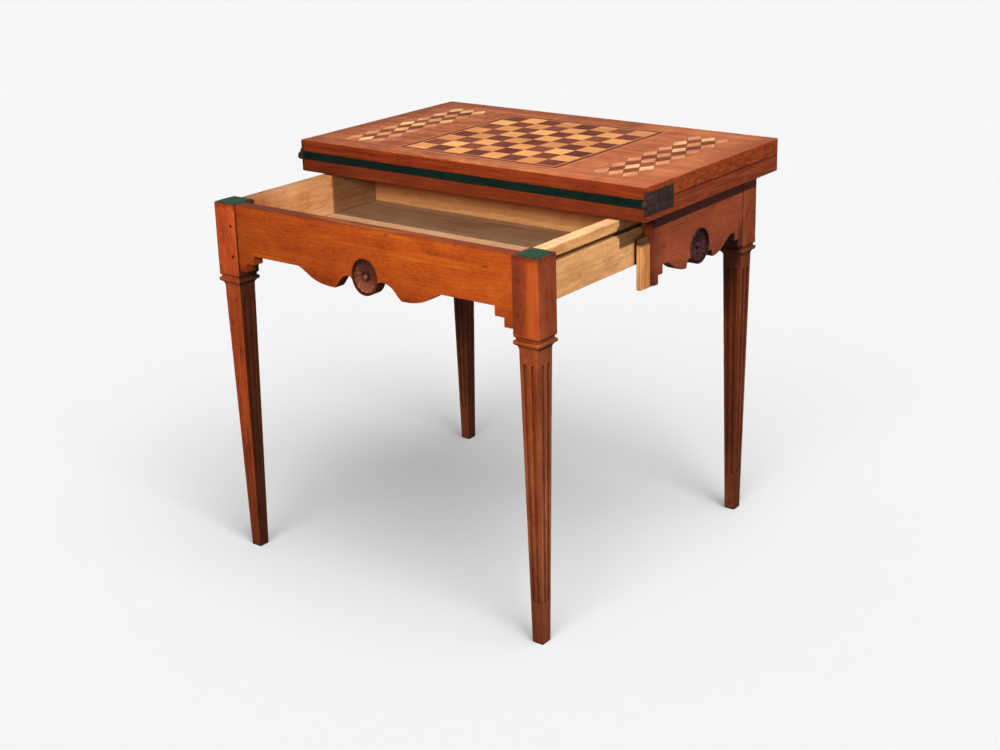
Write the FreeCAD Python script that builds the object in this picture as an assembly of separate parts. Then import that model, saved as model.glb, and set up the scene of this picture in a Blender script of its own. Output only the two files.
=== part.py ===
import FreeCAD, Part
import math
import os

os.makedirs("parts", exist_ok=True)
V = FreeCAD.Vector

# ----------------------------------------------------------------------------
# Fold-over games table with an inlaid board, drawer-leg pattern.
# Millimetres. X right, Y back, Z up. The front frame is pulled out, the leaf shut.
# ----------------------------------------------------------------------------
HEIGHT = 750.0          # floor to the inlaid face
TOP_W = 786.0           # leaf width
TOP_D = 466.0           # leaf depth
LEAF_T = 31.0           # each leaf
LEAF_GAP = 0.3          # closed gap between the two leaves
EDGE_R = 2.5            # softened outer edges of the leaves

PULL = 266.0            # front legs ahead of the leaf's front edge when pulled out
TRAVEL = 290.0          # whole run of the front frame
FRAME_W = 726.0         # across the outer faces of the legs
BACK_OVER = 25.0        # leaf overhang at the back
LEG = 52.0              # square leg block
LEG_FOOT = 21.5         # square of the leg at the floor
LEG_NECK = 38.0         # square of the shaft under the moulding
PAD_T = 1.2             # cloth pad on the front legs

APRON_T = 22.0          # front apron
APRON_SET = 4.0         # front apron set back from the leg faces
SIDE_T = 20.5           # side aprons
SIDE_SET = 1.0
BACK_T = 15.0
BACK_SET = 2.0
RAIL_X0, RAIL_X1 = 317.0, 341.0
RAIL_Z0, RAIL_Z1 = 597.0, 687.0
RAIL_BACK = 131.0       # rail ends behind the leaf's front edge, pulled out
GROOVE_Z0, GROOVE_Z1, GROOVE_D = 661.0, 669.5, 9.0
FLOOR_Z0, FLOOR_Z1 = 606.0, 612.0
BOXBACK_Y0, BOXBACK_Y1 = 123.0, 131.0
TONGUE_X0, TONGUE_X1 = 345.0, 354.5
TONGUE_OUT, TONGUE_IN = 30.0, 20.0
TONGUE_Z0, TONGUE_Z1 = 552.5, 643.0

ROS_R = 31.2            # carved rosette
ROS_Z = 598.0
LOBE_R = 33.0
ROS_NARROW = 0.87        # the front and back discs are narrower than high
ROS_SHIFT = -6.0         # and stand a little off the middle
ROS_DEPTH = 6.0
SIDE_DROP = 7.0         # the side aprons' lower outline hangs this much lower than the front's

SQUARE = 42.0           # chess square
BAND_A, BAND_B, BAND_C = 4.5, 7.5, 4.0     # light, dark, light stringing
INLAY_T = 2.0
BOARD_Y = 224.0         # board centre behind the leaf's front edge
LOZ_W, LOZ_H = 29.5, 52.5
LOZ_COLS, LOZ_ROWS = 3, 7
LOZ_X, LOZ_Y = 287.5, 229.0

BAIZE_T = 1.2
BAIZE_X = 389.7
BED_X = 390.0           # cloth bed, out to the hinge straps
BAIZE_BACK = 8.0
REBATE_D, REBATE_H = 3.5, 7.5

STRAP_T = 3.0           # edge hinges
STRAP_L = 90.0
EYE_R = 7.5
PIN_R = 2.5

# ---- derived ---------------------------------------------------------------
Y0 = -(TOP_D - PULL) / 2.0            # front edge of the leaves
YB = Y0 + TOP_D                       # back edge
YF = Y0 - PULL                        # front face of the front legs
SEAM = HEIGHT - LEAF_T
ZL = SEAM - LEAF_T                    # underside of the lower leaf
HX = FRAME_W / 2.0
LX0 = HX - LEG                        # inner faces of the legs
BY1 = YB - BACK_OVER                  # back face of the back legs
BY0 = BY1 - LEG                       # front face of the back legs
SIDE_Y0 = YF + LEG + TRAVEL + 0.3     # front end of the side aprons
AX_Y, AX_Z = Y0 - 0.3, SEAM           # leaf hinge axis


def box(x0, x1, y0, y1, z0, z1):
    return Part.makeBox(x1 - x0, y1 - y0, z1 - z0, V(x0, y0, z0))


def xbox(s, x0, x1, y0, y1, z0, z1):
    """A box on one side of the table: s is -1 left, +1 right."""
    a, b = sorted((s * x0, s * x1))
    return box(a, b, y0, y1, z0, z1)


def save(name, shape):
    if isinstance(shape, (list, tuple)):
        shape = Part.makeCompound(list(shape)) if len(shape) > 1 else shape[0]
    elif shape.ShapeType == "Compound" and len(shape.Solids) == 1:
        shape = shape.Solids[0]
    shape.exportStep("parts/" + name + ".step")


def spline(points):
    c = Part.BSplineCurve()
    c.interpolate(points)
    return c.toShape()


# ---- legs ------------------------------------------------------------------
def shaft_half(z):
    return (LEG_FOOT + (LEG_NECK - LEG_FOOT) * z / 528.0) / 2.0


def leg(cx, cy, top, rounds):
    """rounds: (sign x, sign y, radius) for the upright corners of the block."""
    h = LEG / 2.0
    levels = [(0.0, shaft_half(0) - 1.2), (1.0, shaft_half(1) - 0.4), (2.4, shaft_half(2.4)),
              (528.0, 19.0), (530.5, 19.25), (533.0, 20.1), (535.2, 21.6), (537.0, 23.8),
              (537.8, 25.4), (539.2, 26.0), (542.6, 26.0), (544.0, 25.4), (544.8, 22.6),
              (548.2, 22.4), (549.0, 23.4), (550.6, 25.2), (552.6, h), (top - 0.8, h), (top, h - 0.8)]
    wires = []
    for z, a in levels:
        wires.append(Part.makePolygon([V(cx - a, cy - a, z), V(cx + a, cy - a, z), V(cx + a, cy + a, z),
                                       V(cx - a, cy + a, z), V(cx - a, cy - a, z)]))
    body = Part.makeLoft(wires, True, True)
    tools = []
    for sx, sy, r in rounds:
        x, y = cx + sx * (h - r), cy + sy * (h - r)
        xa, xb = sorted((x, cx + sx * (h + 1)))
        ya, yb = sorted((y, cy + sy * (h + 1)))
        tools.append(box(xa, xb, ya, yb, 544.4, top + 1).cut(Part.makeCylinder(r, top - 540.0, V(x, y, 542.0))))
    # two flutes down each face of the shaft
    zt, zb = 501.0, 79.0
    for face in range(4):
        ca, sa = [(0, -1), (1, 0), (0, 1), (-1, 0)][face]
        for u in (-0.40, 0.40):
            ends = []
            for z in (zt, zb):
                a = shaft_half(z)
                r = 0.19 * a
                out = a + 0.12 * r
                ends.append((V(cx + ca * out - sa * u * a, cy + sa * out + ca * u * a, z), r))
            (p, r1), (q, r2) = ends
            d = q.sub(p)
            tools.append(Part.makeCone(r1, r2, d.Length, p, d))
            tools.append(Part.makeSphere(r1, p))
            tools.append(Part.makeSphere(r2, q))
    return body.cut(tools)


def peg_y(x, y0, y1, z):
    return Part.makeCylinder(3.0, y1 - y0, V(x, y0, z), V(0, 1, 0))


def peg_x(s, x0, x1, y, z):
    return Part.makeCylinder(3.0, x1 - x0, V(s * x1, y, z), V(-s, 0, 0))


PEG_Z = (664.0, 614.0)
FRONT_PEG_Z = (645.0, 588.0)
cyF, cyB = YF + LEG / 2.0, BY0 + LEG / 2.0
FT_Y0, FT_Y1 = YF + 11.0, YF + 20.0            # front tenon
BT_Y0, BT_Y1 = BY1 - 14.0, BY1 - 6.0           # back apron tenon
TEN_Z0, TEN_Z1 = 602.0, 680.0
FTEN_Z0, FTEN_Z1 = 574.0, 676.0
front_pegs, frame_pegs = [], []
front_legs, back_legs = {}, {}
for s, side in ((-1, "left"), (1, "right")):
    cx = s * (HX - LEG / 2.0)
    top = ZL - 0.5 - PAD_T
    f = leg(cx, cyF, top, [(s, -1, 4.0), (s, 1, 3.0), (-s, -1, 2.5), (-s, 1, 1.5)])
    f = f.cut([xbox(s, LX0, LX0 + 28, FT_Y0, FT_Y1, FTEN_Z0, FTEN_Z1),
               xbox(s, RAIL_X0 + 5, RAIL_X1 - 10, YF + LEG - 14, YF + LEG, 605.0, 655.0),
               xbox(s, TONGUE_X0 - 0.5, TONGUE_X1 + 0.5, YF + LEG - TONGUE_OUT - 1.0, YF + LEG + 1,
                    TONGUE_Z0 - 1.0, TONGUE_Z1 + 1.0)])
    ps = [peg_y(s * (LX0 + 12), YF, YF + 24, z) for z in FRONT_PEG_Z]
    front_pegs += ps
    front_legs[s] = f.cut(ps)
    save("front_leg_" + side, front_legs[s])
    # the right pad is cut smaller and sits to the outer side
    if s < 0:
        pad = box(-HX + 1.6, -LX0 - 1.6, YF + 1.6, YF + LEG - 1.6, top, top + PAD_T)
    else:
        pad = box(LX0 + 7.0, HX - 3.0, YF + 1.8, YF + LEG - 1.8, top, top + PAD_T)
    save("leg_pad_" + side, pad)

    b = leg(cx, cyB, ZL, [(s, 1, 3.0), (s, -1, 1.0), (-s, 1, 1.5), (-s, -1, 1.5)])
    b = b.cut([xbox(s, LX0 - 1, RAIL_X1 + 0.5, BY0 - 1, BY0 + 33, RAIL_Z0 - 2, ZL + 1),
               xbox(s, LX0, LX0 + 28, BT_Y0, BT_Y1, TEN_Z0, TEN_Z1),
               xbox(s, TONGUE_X0, TONGUE_X0 + 9, BY0, BY0 + 26, TEN_Z0, TEN_Z1)])
    ps = [peg_x(s, RAIL_X1 + 1.5, HX, BY0 + 13, z) for z in PEG_Z]
    ps += [peg_y(s * (LX0 + 12), BY1 - 16, BY1, z) for z in PEG_Z]
    frame_pegs += ps
    back_legs[s] = b.cut(ps)
    save("back_leg_" + side, back_legs[s])
save("pegs_front", front_pegs)
save("pegs_frame", frame_pegs)


# ---- aprons ----------------------------------------------------------------
def apron_wire(P, half, ztop, step, ogee, notch, squeeze=0.0, shift=0.0):
    """Closed outline. ogee runs from the flat to the lobe tip, notch from the tip to the disc. squeeze narrows the
    disc's lobe on each side and shift moves it along the apron; the lobe tips stay."""
    flat = ogee[0][1]
    tip, run = notch[0][0], notch[0][0] - notch[-1][0]
    side_notch = {}
    for sg in (1, -1):
        side_notch[sg] = [(sg * (u - squeeze * (tip - u) / run) + shift * (tip - u) / run, z) for u, z in notch]
    right = [(half, ztop), (half, 562.0), (half - step, 562.0), (half - step, 578.0),
             (half - 2 * step, 578.0), (half - 2 * step, flat), ogee[0]]
    edges = []

    def line(a, b):
        edges.append(Part.makeLine(P(*a), P(*b)))

    for a, b in zip(right[:-1], right[1:]):
        line(a, b)
    edges.append(spline([P(*q) for q in ogee]))
    edges.append(spline([P(*q) for q in side_notch[1]]))
    edges.append(Part.Arc(P(*side_notch[1][-1]), P(shift, ROS_Z - LOBE_R), P(*side_notch[-1][-1])).toShape())
    edges.append(spline([P(*q) for q in reversed(side_notch[-1])]))
    edges.append(spline([P(-u, z) for u, z in reversed(ogee)]))
    left = [(-u, z) for u, z in reversed(right)]
    for a, b in zip(left[:-1], left[1:]):
        line(a, b)
    line((-half, ztop), (half, ztop))
    return Part.Wire(Part.__sortEdges__(edges))


def on_lobe(u):
    return (u, ROS_Z - math.sqrt(LOBE_R ** 2 - u * u))


WIDE_OGEE = [(162.0, 595.0), (151.0, 590.2), (138.0, 582.2), (116.0, 573.0), (96.0, 569.2), (75.0, 568.6)]
WIDE_NOTCH = [(75.0, 568.6), (71.6, 572.4), (67.4, 577.6), (63.0, 583.4), (58.0, 588.8), (51.0, 593.0), (44.0, 594.9),
              (37.8, 594.4), (33.9, 591.6), on_lobe(31.6)]
NARROW_OGEE = [(113.0, 594.0), (104.0, 590.4), (91.0, 582.2), (75.0, 573.2), (61.0, 568.8), (46.5, 567.6)]
NARROW_NOTCH = [(46.5, 567.6), (45.0, 572.4), (42.4, 578.0), (38.6, 581.8), (34.8, 582.6), (32.2, 580.8), on_lobe(30.2)]


def disc(P, r, d0, d1, kx):
    """A round (kx = 1) or narrowed disc standing in the apron from depth d0 to d1 about its face."""
    c = P(0, ROS_Z, d0)
    out = P(0, ROS_Z, d1).sub(c)
    if kx == 1.0:
        return Part.makeCylinder(r, out.Length, c, out)
    e = Part.Ellipse(P(0, ROS_Z + r, d0), P(r * kx, ROS_Z, d0), c)
    return Part.Face(Part.Wire(e.toShape())).extrude(out)


def rosette(P, n, kx=1.0):
    """Carved disc: P(u, z, d) maps along the apron, up, and d = depth out of its face (0 = face)."""
    body = disc(P, ROS_R, -ROS_DEPTH, -ROS_DEPTH + 2.6, kx)
    parts = [disc(P, ROS_R, -ROS_DEPTH, -0.4, kx).cut(disc(P, 27.6, -ROS_DEPTH, 2.0, kx))]
    for i in range(n):
        a = 2 * math.pi * i / n
        b = a + 0.62
        p = P(9.0 * kx * math.cos(a), ROS_Z + 9.0 * math.sin(a), -ROS_DEPTH + 2.0)
        q = P(23.6 * kx * math.cos(b), ROS_Z + 23.6 * math.sin(b), -ROS_DEPTH + 2.0)
        d = q.sub(p)
        parts.append(Part.makeCone(1.7, 3.5 * kx, d.Length, p, d))
        parts.append(Part.makeSphere(3.5 * kx, q))
    parts.append(Part.makeSphere(6.4, P(0, ROS_Z, -ROS_DEPTH + 1.2)))
    low = disc(P, ROS_R + 1, -ROS_DEPTH - 20.0, -ROS_DEPTH, 1.0)
    return body.fuse(parts).cut(low).removeSplitter()


def recess(P, kx=1.0):
    return disc(P, ROS_R + 0.3, -ROS_DEPTH, 1.0, kx)


# front apron
fy = YF + APRON_SET
ZA = ZL - 1.5
w = apron_wire(lambda u, z: V(u, fy, z), LX0, ZA, 19.0, WIDE_OGEE, WIDE_NOTCH, 3.8, ROS_SHIFT)
fa = Part.Face(w).extrude(V(0, APRON_T, 0))
PF = lambda u, z, d: V(u + ROS_SHIFT, fy - d, z)
for s in (-1, 1):
    fa = fa.fuse(xbox(s, LX0 - 1, LX0 + 28, FT_Y0, FT_Y1, FTEN_Z0, FTEN_Z1))
fa = fa.cut([recess(PF, ROS_NARROW), box(-310.6, 310.6, fy + APRON_T - 6.0, fy + APRON_T + 1, FLOOR_Z0, FLOOR_Z1)] + front_pegs)
save("front_apron", fa.removeSplitter())
save("rosette_front", rosette(PF, 10, ROS_NARROW))

# back apron, same outline
by = BY1 - BACK_SET
w = apron_wire(lambda u, z: V(-u, by, z), LX0, ZL, 19.0, WIDE_OGEE, WIDE_NOTCH, 3.8, ROS_SHIFT)
ba = Part.Face(w).extrude(V(0, -BACK_T, 0))
PB = lambda u, z, d: V(-u - ROS_SHIFT, by + d, z)
for s in (-1, 1):
    ba = ba.fuse(xbox(s, LX0 - 1, LX0 + 28, BT_Y0, BT_Y1, TEN_Z0, TEN_Z1))
ba = ba.cut([recess(PB, ROS_NARROW)] + frame_pegs)
save("back_apron", ba.removeSplitter())
save("rosette_back", rosette(PB, 10, ROS_NARROW))

# side aprons with their tongues and runners
SX1 = HX - SIDE_SET
SX0 = SX1 - SIDE_T
mid = (SIDE_Y0 + BY0) / 2.0
half = (BY0 - SIDE_Y0) / 2.0
RUN_Y0, RUN_Y1 = SIDE_Y0 + 0.4, SIDE_Y0 + 29.4
RUN_Z0, RUN_Z1 = GROOVE_Z0 + 0.3, GROOVE_Z1 - 0.3
for s, side in ((-1, "left"), (1, "right")):
    w = apron_wire(lambda u, z: V(s * SX1, mid + u, z - SIDE_DROP), half, ZL + SIDE_DROP, 14.5, NARROW_OGEE, NARROW_NOTCH)
    sa_ = Part.Face(w).extrude(V(-s * SIDE_T, 0, 0))
    PS = lambda u, z, d: V(s * (SX1 + d), mid + s * u, z - SIDE_DROP)
    sa_ = sa_.fuse(xbox(s, TONGUE_X0, TONGUE_X0 + 9, BY0 - 1, BY0 + 26, TEN_Z0, TEN_Z1))
    tongue = xbox(s, TONGUE_X0, TONGUE_X1, SIDE_Y0 - TONGUE_OUT, SIDE_Y0 + TONGUE_IN, TONGUE_Z0, TONGUE_Z1)
    runner = xbox(s, RAIL_X1 - GROOVE_D + 1.0, SX0 + 4.0, RUN_Y0, RUN_Y1, RUN_Z0, RUN_Z1)
    sa_ = sa_.cut([recess(PS), tongue, runner] + frame_pegs)
    save("side_apron_" + side, sa_.removeSplitter())
    save("rosette_" + side, rosette(PS, 10))
    # soften the exposed front arrises of the tongue
    es = [e for e in tongue.Edges
          if abs(e.CenterOfMass.y - (SIDE_Y0 - TONGUE_OUT)) < 0.01 and abs(e.Vertexes[0].Z - e.Vertexes[1].Z) > 1]
    tongue = tongue.makeFillet(1.0, es)
    save("tongue_" + side, tongue)
    save("runner_" + side, runner)

# ---- sliding box -----------------------------------------------------------
RY0, RY1 = YF + LEG, Y0 + RAIL_BACK
for s, side in ((-1, "left"), (1, "right")):
    r = xbox(s, RAIL_X0, RAIL_X1, RY0, RY1, RAIL_Z0, RAIL_Z1)
    r = r.fuse(xbox(s, RAIL_X0 + 5, RAIL_X1 - 10, RY0 - 14, RY0 + 1, 605.0, 655.0))
    r = r.cut([xbox(s, RAIL_X1 - GROOVE_D, RAIL_X1 + 1, RY0 - 1, RUN_Y1 + 0.3, GROOVE_Z0, GROOVE_Z1),
               xbox(s, RAIL_X0 - 1, RAIL_X0 + 6, RY0, Y0 + BOXBACK_Y1, FLOOR_Z0, FLOOR_Z1),
               xbox(s, RAIL_X0 - 1, RAIL_X0 + 6, Y0 + BOXBACK_Y0, Y0 + BOXBACK_Y1 + 1, RAIL_Z0 - 1, RAIL_Z1 + 1)])
    save("rail_" + side, r.removeSplitter())
bot = box(-310.4, 310.4, fy + APRON_T - 5.8, RY0 + 1, FLOOR_Z0, FLOOR_Z1)
bot = bot.fuse(box(-RAIL_X0 - 5.8, RAIL_X0 + 5.8, RY0 + 0.2, Y0 + BOXBACK_Y0 + 4.0, FLOOR_Z0, FLOOR_Z1)).removeSplitter()
save("box_bottom", bot)
bb = box(-RAIL_X0 - 6, RAIL_X0 + 6, Y0 + BOXBACK_Y0, Y0 + BOXBACK_Y1, RAIL_Z0, RAIL_Z1 - 1.0)
bb = bb.cut(box(-RAIL_X0 - 7, RAIL_X0 + 7, Y0 + BOXBACK_Y0 - 1, Y0 + BOXBACK_Y0 + 4.2, FLOOR_Z0, FLOOR_Z1))
save("box_back", bb)

# ---- leaves ----------------------------------------------------------------
HW = TOP_W / 2.0


def strap_recess(s, lower):
    if lower:
        return xbox(s, HW - STRAP_T, HW + 1, Y0 - 1, Y0 + STRAP_L, SEAM - 20.5, SEAM + 1)
    return xbox(s, HW - STRAP_T, HW + 1, Y0 - 1, Y0 + STRAP_L, SEAM - 1, SEAM + 20.5)


def screw(s, y, z):
    head = Part.makeCone(3.9, 1.9, 2.4, V(s * HW, y, z), V(-s, 0, 0))
    shank = Part.makeCylinder(1.9, 22.0, V(s * HW, y, z), V(-s, 0, 0))
    slot = box(s * HW - 0.8, s * HW + 0.8, y - 5, y + 5, z - 0.5, z + 0.5)
    return head.fuse(shank).cut(slot).removeSplitter()


def screw_hole(s, y, z):
    head = Part.makeCone(3.9, 1.9, 2.4, V(s * HW, y, z), V(-s, 0, 0))
    shank = Part.makeCylinder(1.9, 22.0, V(s * HW, y, z), V(-s, 0, 0))
    return head.fuse(shank)


SCREW_Y = [Y0 + 36.0, Y0 + 58.0, Y0 + 80.0]
low_holes = [screw_hole(s, y, SEAM - 10.3) for s in (-1, 1) for y in SCREW_Y]
up_holes = [screw_hole(s, y, SEAM + 10.3) for s in (-1, 1) for y in SCREW_Y]


def leaf(z0, z1, outer_z, seam_z):
    b = box(-HW, HW, Y0, YB, z0, z1)
    vert = [e for e in b.Edges if abs(e.Vertexes[0].Z - e.Vertexes[1].Z) > 1 and e.CenterOfMass.y > 0]
    b = b.makeFillet(5.0, vert)
    rim = [e for e in b.Edges if abs(e.CenterOfMass.z - outer_z) < 0.01]
    b = b.makeFillet(EDGE_R, rim)
    rim = [e for e in b.Edges if abs(e.CenterOfMass.z - seam_z) < 0.01]
    return b.makeFillet(0.9, rim)


def soften_rebate(b, z):
    lip = [e for e in b.Edges if abs(e.CenterOfMass.z - z) < 0.01 and abs(e.CenterOfMass.y - Y0) < 0.01
           and e.Length > 700]
    return b.makeFillet(1.6, lip)


G = LEAF_GAP / 2.0
# lower leaf: cloth bed on its upper face, turned down over the hinge edge
lz1 = SEAM - G
low = leaf(ZL, lz1, ZL, lz1)
cloth_low = box(-BAIZE_X, BAIZE_X, Y0 + REBATE_D - BAIZE_T, YB - BAIZE_BACK, lz1 - BAIZE_T, lz1)
turn_low = box(-BAIZE_X, BAIZE_X, Y0 + REBATE_D - BAIZE_T, Y0 + REBATE_D, SEAM - REBATE_H, lz1)
bed_low = box(-BED_X, BED_X, Y0 + REBATE_D, YB - BAIZE_BACK, lz1 - BAIZE_T, lz1 + 1)
reb_low = box(-BED_X, BED_X, Y0 - 1, Y0 + REBATE_D, SEAM - REBATE_H, lz1 + 1)
low = low.cut([bed_low, reb_low, strap_recess(-1, True), strap_recess(1, True)] + low_holes)
save("lower_leaf", soften_rebate(low.removeSplitter(), SEAM - REBATE_H))
save("baize_lower", cloth_low.fuse(turn_low).removeSplitter())

# upper leaf: the same, turned over, with the inlay beds in its outer face
uz0 = SEAM + G
up = leaf(uz0, HEIGHT, HEIGHT, uz0)
cloth_up = box(-BAIZE_X, BAIZE_X, Y0 + REBATE_D - BAIZE_T, YB - BAIZE_BACK, uz0, uz0 + BAIZE_T)
turn_up = box(-BAIZE_X, BAIZE_X, Y0 + REBATE_D - BAIZE_T, Y0 + REBATE_D, uz0, SEAM + REBATE_H)
bed_up = box(-BED_X, BED_X, Y0 + REBATE_D, YB - BAIZE_BACK, uz0 - 1, uz0 + BAIZE_T)
reb_up = box(-BED_X, BED_X, Y0 - 1, Y0 + REBATE_D, uz0 - 1, SEAM + REBATE_H)
BC = Y0 + BOARD_Y
b0 = 4 * SQUARE
b1, b2, b3 = b0 + BAND_A, b0 + BAND_A + BAND_B, b0 + BAND_A + BAND_B + BAND_C
IZ = HEIGHT - INLAY_T
board_bed = box(-b3, b3, BC - b3, BC + b3, IZ, HEIGHT + 1)
lw, lh = LOZ_COLS * LOZ_W / 2.0, LOZ_ROWS * LOZ_H / 2.0
LC = Y0 + LOZ_Y
loz_beds = [box(c - lw, c + lw, LC - lh, LC + lh, IZ, HEIGHT + 1) for c in (-LOZ_X, LOZ_X)]
up = up.cut([bed_up, reb_up, board_bed, strap_recess(-1, False), strap_recess(1, False)] + loz_beds + up_holes)
save("upper_leaf", soften_rebate(up.removeSplitter(), SEAM + REBATE_H))
save("baize_upper", cloth_up.fuse(turn_up).removeSplitter())


def frame(a, b):
    return box(-b, b, BC - b, BC + b, IZ, HEIGHT).cut(box(-a, a, BC - a, BC + a, IZ - 1, HEIGHT + 1))


save("stringing_inner", frame(b0, b1))
save("stringing_dark", frame(b1, b2))
save("stringing_outer", frame(b2, b3))
light, dark = [], []
for i in range(8):
    for j in range(8):
        x, y = -b0 + i * SQUARE, BC - b0 + j * SQUARE
        (light if (i + j) % 2 == 0 else dark).append(box(x, x + SQUARE, y, y + SQUARE, IZ, HEIGHT))
save("squares_light", light)
save("squares_dark", dark)


def tile(points):
    w_ = Part.makePolygon([V(x, y, IZ) for x, y in points + points[:1]])
    return Part.Face(w_).extrude(V(0, 0, INLAY_T))


# pale lozenges: (column, row) counted from the left and from the front
CREAM_LEFT = {(0, 6), (1, 6), (2, 6), (0, 5), (2, 4), (0, 3), (1, 3), (1, 2), (1, 0)}
CREAM_RIGHT = {(1, 6), (0, 5), (1, 4), (1, 1), (2, 1)}
cream, tan, fill = [], [], []
for c, pale in ((-LOZ_X, CREAM_LEFT), (LOZ_X, CREAM_RIGHT)):
    x0, y0 = c - lw, LC - lh
    a, b = LOZ_W / 2.0, LOZ_H / 2.0
    for i in range(LOZ_COLS):
        for j in range(LOZ_ROWS):
            mx, my = x0 + (2 * i + 1) * a, y0 + (2 * j + 1) * b
            t = tile([(mx - a, my), (mx, my - b), (mx + a, my), (mx, my + b)])
            (cream if (i, j) in pale else tan).append(t)
    for i in range(LOZ_COLS + 1):
        for j in range(LOZ_ROWS + 1):
            mx, my = x0 + 2 * i * a, y0 + 2 * j * b
            pts = [(mx - a, my), (mx, my - b), (mx + a, my), (mx, my + b)]
            t = tile(pts).common(box(x0, x0 + 2 * lw, y0, y0 + 2 * lh, IZ, HEIGHT))
            fill += t.Solids
save("lozenges_cream", cream)
save("lozenges_tan", tan)
save("lozenges_dark", fill)

# ---- edge hinges -----------------------------------------------------------
pins = []
for s, side in ((-1, "left"), (1, "right")):
    x_in, x_out = HW - STRAP_T, HW

    def eye(r, a, b):
        return Part.makeCylinder(r, b - a, V(s * a, AX_Y, AX_Z), V(s, 0, 0))

    pl = xbox(s, x_in, x_out, Y0, Y0 + STRAP_L, SEAM - 20.5, SEAM - 0.3)
    pl = pl.fuse(eye(EYE_R, x_in, x_out)).cut([eye(PIN_R, x_in - 1, x_out + 1)] + low_holes)
    save("hinge_lower_" + side, pl.removeSplitter())
    pu = xbox(s, x_in, x_out, Y0, Y0 + STRAP_L, SEAM + 0.3, SEAM + 20.5).cut(eye(EYE_R + 0.5, x_in - 1, x_out + 1))
    arm = xbox(s, x_out + 0.2, x_out + 3.2, AX_Y, Y0 + 26, SEAM + 0.6, SEAM + 12.6).fuse(
        eye(EYE_R, x_out + 0.2, x_out + 3.2))
    link = xbox(s, x_out - 0.5, x_out + 0.4, Y0 + 10, Y0 + 26, SEAM + 0.6, SEAM + 12.6)
    pu = pu.fuse([arm, link]).cut([eye(PIN_R + 0.1, x_in - 1, x_out + 5)] + up_holes)
    save("hinge_upper_" + side, pu.removeSplitter())
    pin = eye(PIN_R, x_in, x_out + 3.4).fuse(eye(4.2, x_out + 3.4, x_out + 4.6)).removeSplitter()
    pins.append(pin)
save("hinge_pins", pins)
save("hinge_screws_lower", [screw(s, y, SEAM - 10.3) for s in (-1, 1) for y in SCREW_Y])
save("hinge_screws_upper", [screw(s, y, SEAM + 10.3) for s in (-1, 1) for y in SCREW_Y])
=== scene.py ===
import math

import bpy
from mathutils import Matrix, Vector, noise


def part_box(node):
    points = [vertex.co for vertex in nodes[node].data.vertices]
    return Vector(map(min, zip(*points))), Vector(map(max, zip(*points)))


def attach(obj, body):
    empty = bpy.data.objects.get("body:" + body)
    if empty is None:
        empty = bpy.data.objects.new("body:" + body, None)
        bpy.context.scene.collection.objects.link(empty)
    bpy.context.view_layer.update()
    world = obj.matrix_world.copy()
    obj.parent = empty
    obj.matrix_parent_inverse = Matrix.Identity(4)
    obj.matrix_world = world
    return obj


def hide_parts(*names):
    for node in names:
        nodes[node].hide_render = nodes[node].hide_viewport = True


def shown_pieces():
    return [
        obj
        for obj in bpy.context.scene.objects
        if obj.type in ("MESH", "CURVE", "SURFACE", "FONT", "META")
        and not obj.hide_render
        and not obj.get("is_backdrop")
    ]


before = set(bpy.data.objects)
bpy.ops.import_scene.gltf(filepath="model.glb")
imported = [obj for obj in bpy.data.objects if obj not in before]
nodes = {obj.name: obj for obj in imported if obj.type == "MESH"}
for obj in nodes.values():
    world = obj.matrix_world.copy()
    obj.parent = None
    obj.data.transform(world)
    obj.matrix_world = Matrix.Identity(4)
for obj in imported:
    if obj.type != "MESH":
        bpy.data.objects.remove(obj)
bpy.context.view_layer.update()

scene = bpy.context.scene


# ----------------------------------------------------------------------------
# shader helpers
# ----------------------------------------------------------------------------
def srgb(r, g, b):
    def f(c):
        c /= 255.0
        return c / 12.92 if c <= 0.04045 else ((c + 0.055) / 1.055) ** 2.4
    return (f(r), f(g), f(b), 1.0)


def shade(c, k, add=0.0):
    return tuple(min(1.0, k * x + add) for x in c[:3]) + (1.0,)


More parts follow.
